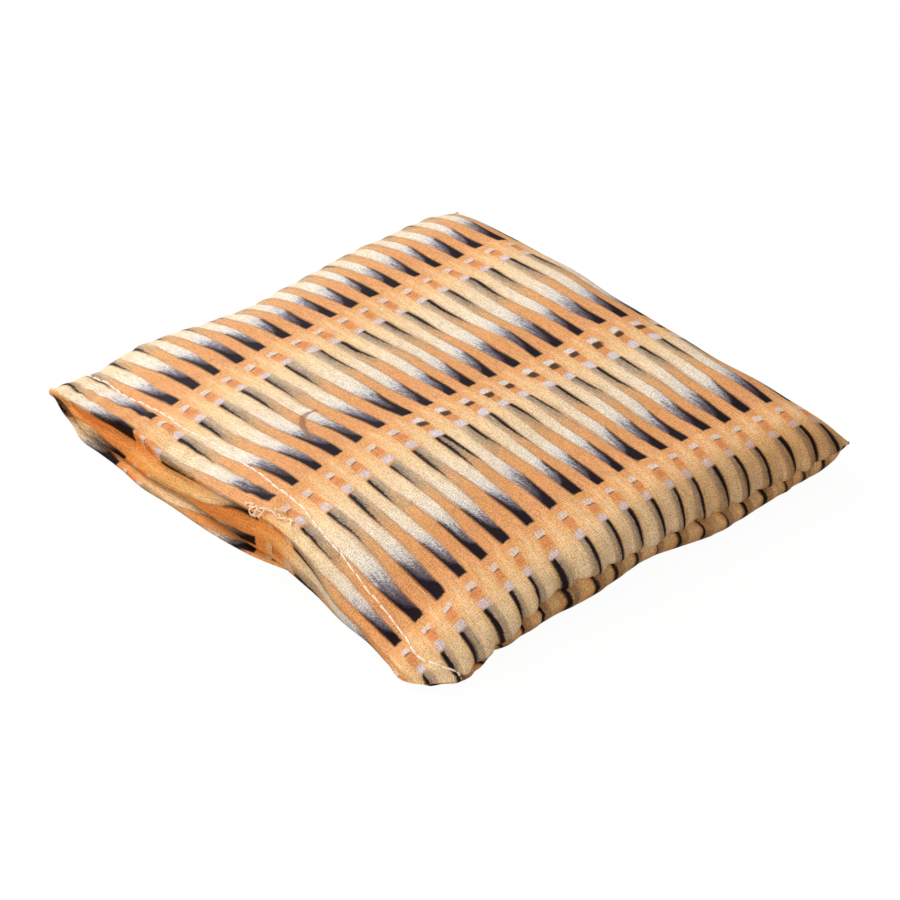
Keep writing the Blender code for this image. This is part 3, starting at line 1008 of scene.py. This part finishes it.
# ---- the tack that holds the hem, and its loose ends ----
# strands: (places across, steps from the rim, how far it lifts)
TACK = (((12.0, 10.4, 8.6, 7.0), (10.9, 10.0, 10.3, 9.0), 0.5),
        ((10.8, 9.4, 8.2, 9.2, 10.4), (11.8, 11.9, 10.8, 9.8, 10.2), 0.6),
        ((7.6, 6.2, 5.6, 6.8, 7.2), (10.0, 9.4, 8.2, 7.9, 8.9), 0.5),
        ((6.4, 4.8, 4.0, 4.8, 5.8), (8.6, 8.9, 8.1, 7.4, 7.7), 0.4),
        ((4.2, 2.8, 1.4), (8.4, 8.8, 8.3), 0.2),
        ((12.4, 13.4, 14.2), (10.8, 11.3, 10.6), 0.2))
TACK_RADIUS, STRAND_POINTS, STRAND_WIGGLE, STRAND_CLEAR = 0.21, 26, 0.3, 0.1


def on_cloth(x, s):
    """Places on the upper cloth, and its normals, at every x and s from the rim."""
    at, normal = np.empty((len(x), 3)), np.empty((len(x), 3))
    for i, (px, ps) in enumerate(zip(x, s)):
        row = int(np.clip(np.searchsorted(S_FRONT, ps) - 1, 0, N_FRONT - 2))
        share = (ps - S_FRONT[row]) / (S_FRONT[row + 1] - S_FRONT[row])
        for out, field in ((at, upper_fine), (normal, upper_normals)):
            over, under = (between(px, upper_fine[r, :, 0], field[r]) for r in (row, row + 1))
            out[i] = over * (1.0 - share) + under * share
    return at, normal


def strand(x, s, lift):
    """A loose, uneven strand a little off the cloth."""
    t = np.linspace(0.0, 1.0, STRAND_POINTS)
    knots = np.linspace(0.0, 1.0, len(x))
    start = RANDOM.uniform(0.0, 6.0)
    at, normal = on_cloth(through(list(zip(knots, x)), t) + STRAND_WIGGLE * np.sin(17.0 * t + start),
                          through(list(zip(knots, s)), t) + STRAND_WIGGLE * np.cos(13.0 * t + start))
    return at + normal * (STRAND_CLEAR + lift * np.abs(np.sin(9.0 * t + start)))[:, None]


tack_threads = thread_object("tack_threads", [strand(*row) for row in TACK], TACK_RADIUS)
tack_threads.data.materials.append(material_of("tack_thread", TACK_THREAD))

# ---- the bag folded inside ----
BAG_LAYERS, BAG_FILL = 5, 0.76
BAG_ROUND = 1.3  # how far the folds stand out
BAG_COLUMNS, BAG_RUN, BAG_FOLD = 40, 36, 10
POUCH_SKIN, BAG_CLEAR = 0.5, 0.5  # room for the pouch's cloth, and room next to it
BAG_PRINT_ACROSS, BAG_PRINT_ROW = 17.0, 1.0  # where its print starts
ABOVE_ALL, BELOW_ALL = 30.0, -10.0


def bag_section(front, back):
    """(y, share of the height) back and forth, fold by fold."""
    pitch = 1.0 / BAG_LAYERS
    steps = []
    for layer in range(BAG_LAYERS):
        height = (layer + 0.5) * pitch
        start, end = (front, back) if layer % 2 == 0 else (back, front)
        steps += [(start + (end - start) * i / BAG_RUN, height) for i in range(BAG_RUN + 1)]
        if layer < BAG_LAYERS - 1:
            out = BAG_ROUND if layer % 2 == 0 else -BAG_ROUND
            for i in range(1, BAG_FOLD):
                turn = math.pi * i / BAG_FOLD
                rise = 0.5 * pitch * (1.0 - math.cos(turn))
                steps.append((end + out * math.sin(turn), height + rise))
    return steps


def room_inside(cloth):
    """The heights of a cloth's lower and upper side, as a function of x and y."""
    points = np.array([v.co[:] for v in cloth.data.vertices]) / MM
    faces = [list(p.vertices) for p in cloth.data.polygons]
    tree = BVHTree.FromPolygons(points.tolist(), faces)

    def heights(x, y):
        down = tree.ray_cast((x, y, ABOVE_ALL), (0.0, 0.0, -1.0))[0]
        up = tree.ray_cast((x, y, BELOW_ALL), (0.0, 0.0, 1.0))[0]
        return up.z, down.z

    return heights


def bag_points(low_corner, high_corner):
    """The folded bag's grid of points: its section, fitted into the pouch."""
    heights = room_inside(pouch)
    section = bag_section(low_corner[1] + BAG_ROUND, high_corner[1] - BAG_ROUND)
    across = np.linspace(low_corner[0], high_corner[0], BAG_COLUMNS)
    grid = np.empty((len(section), BAG_COLUMNS, 3))
    room = {}
    for i, (y, share) in enumerate(section):
        for j, x in enumerate(across):
            key = (round(y, 1), j)
            if key not in room:
                low, high = heights(x, y)
                room[key] = low + POUCH_SKIN + BAG_CLEAR, high - POUCH_SKIN - BAG_CLEAR
            low, high = room[key]
            grid[i, j] = x, y, low + share * (high - low)
    return grid


def bag_mesh():
    """The folded bag as one cloth that runs back and forth."""
    low_corner, high_corner = np.array(BAG_LOW) / MM, np.array(BAG_HIGH) / MM
    grid = bag_points(low_corner, high_corner)
    rows = run_along(grid[:, 0, 1:])[:, None] / ROW_PITCH + BAG_PRINT_ROW
    places = np.stack([grid[..., 0] + BAG_PRINT_ACROSS, np.repeat(rows, BAG_COLUMNS, 1)], -1)
    faces = quads(np.arange(grid[..., 0].size).reshape(grid.shape[:2]))
    obj = mesh_object("folded_bag_cloth", grid.reshape(-1, 3), faces.tolist(),
                      places.reshape(-1, 2)[faces])
    thicken(obj, 0.5 * (high_corner[2] - low_corner[2]) * BAG_FILL / BAG_LAYERS, 0.0)
    return obj


folded = bag_mesh()
folded.data.materials.append(printed_cloth("wicker_print_inside"))

# ---- floor, light, camera ----
FLOOR_SIZE, FLOOR_BELOW = 6.0, 0.0002
# (name, place from the pouch's middle, size, power, tint)
LIGHTS = (("key_light", (-0.62, 0.06, 0.60), 0.55, 5.4, (1.0, 1.0, 1.0)),
          ("fill_light", (0.80, -0.50, 0.50), 0.4, 3.3, (1.0, 0.86, 0.69)),
          ("front_light", (-0.25, -0.95, 0.32), 0.8, 4.4, (1.0, 0.90, 0.76)),
          ("side_light", (-0.90, 0.12, 0.26), 0.5, 1.5, (0.93, 0.97, 1.0)))
WORLD_TINT, WORLD_STRENGTH = (1.0, 0.93, 0.83, 1.0), 0.31
VIEW_TURN, VIEW_RISE, VIEW_FAR = math.radians(-40.717), math.radians(36.66), 0.66599
AIM = Vector((0.0030, -0.0026, 0.0))  # from under the pouch's middle
SENSOR, LENS = 36.0, 121.7


def area_light(name, place, size, power, tint):
    """A square lamp that faces the pouch's middle."""
    data = bpy.data.lights.new(name, "AREA")
    data.shape = "SQUARE"
    data.size = size
    data.energy = power
    data.color = tint
    lamp = bpy.data.objects.new(name, data)
    bpy.context.scene.collection.objects.link(lamp)
    lamp.location = middle + Vector(place)
    lamp.rotation_euler = (-Vector(place)).to_track_quat("-Z", "Y").to_euler()


def photo_camera():
    """The camera where the photo was taken from."""
    data = bpy.data.cameras.new("photo_camera")
    camera = bpy.data.objects.new("photo_camera", data)
    bpy.context.scene.collection.objects.link(camera)
    data.sensor_width, data.lens = SENSOR, LENS
    data.clip_start, data.clip_end = 0.01, 20.0
    toward = Vector((math.cos(VIEW_RISE) * math.cos(VIEW_TURN),
                     math.cos(VIEW_RISE) * math.sin(VIEW_TURN), math.sin(VIEW_RISE)))
    camera.location = Vector((middle.x, middle.y, POUCH_LOW.z)) + AIM + toward * VIEW_FAR
    camera.rotation_euler = (-toward).to_track_quat("-Z", "Y").to_euler()
    return camera


middle = (POUCH_LOW + POUCH_HIGH) * 0.5
under_it = (middle.x, middle.y, POUCH_LOW.z - FLOOR_BELOW)
bpy.ops.mesh.primitive_plane_add(size=FLOOR_SIZE, location=under_it)
floor = bpy.context.object
floor.name = "floor"
floor.data.materials.append(material_of("floor_paper", FLOOR_PAPER))
floor.visible_diffuse = False
floor.visible_glossy = False
for light in LIGHTS:
    area_light(*light)
world = bpy.data.worlds.new("studio")
world.use_nodes = True
feed_all(world.node_tree.nodes["Background"], {"Color": WORLD_TINT, "Strength": WORLD_STRENGTH})
scene = bpy.context.scene
scene.world = world
scene.view_settings.view_transform = "Standard"
scene.view_settings.look = "None"
scene.camera = photo_camera()

# ---- how the pieces belong to the frame ----
for piece in (pouch, hem_stitches, tack_threads, folded):
    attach(piece, "root")
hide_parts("pouch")
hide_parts("folded_bag")
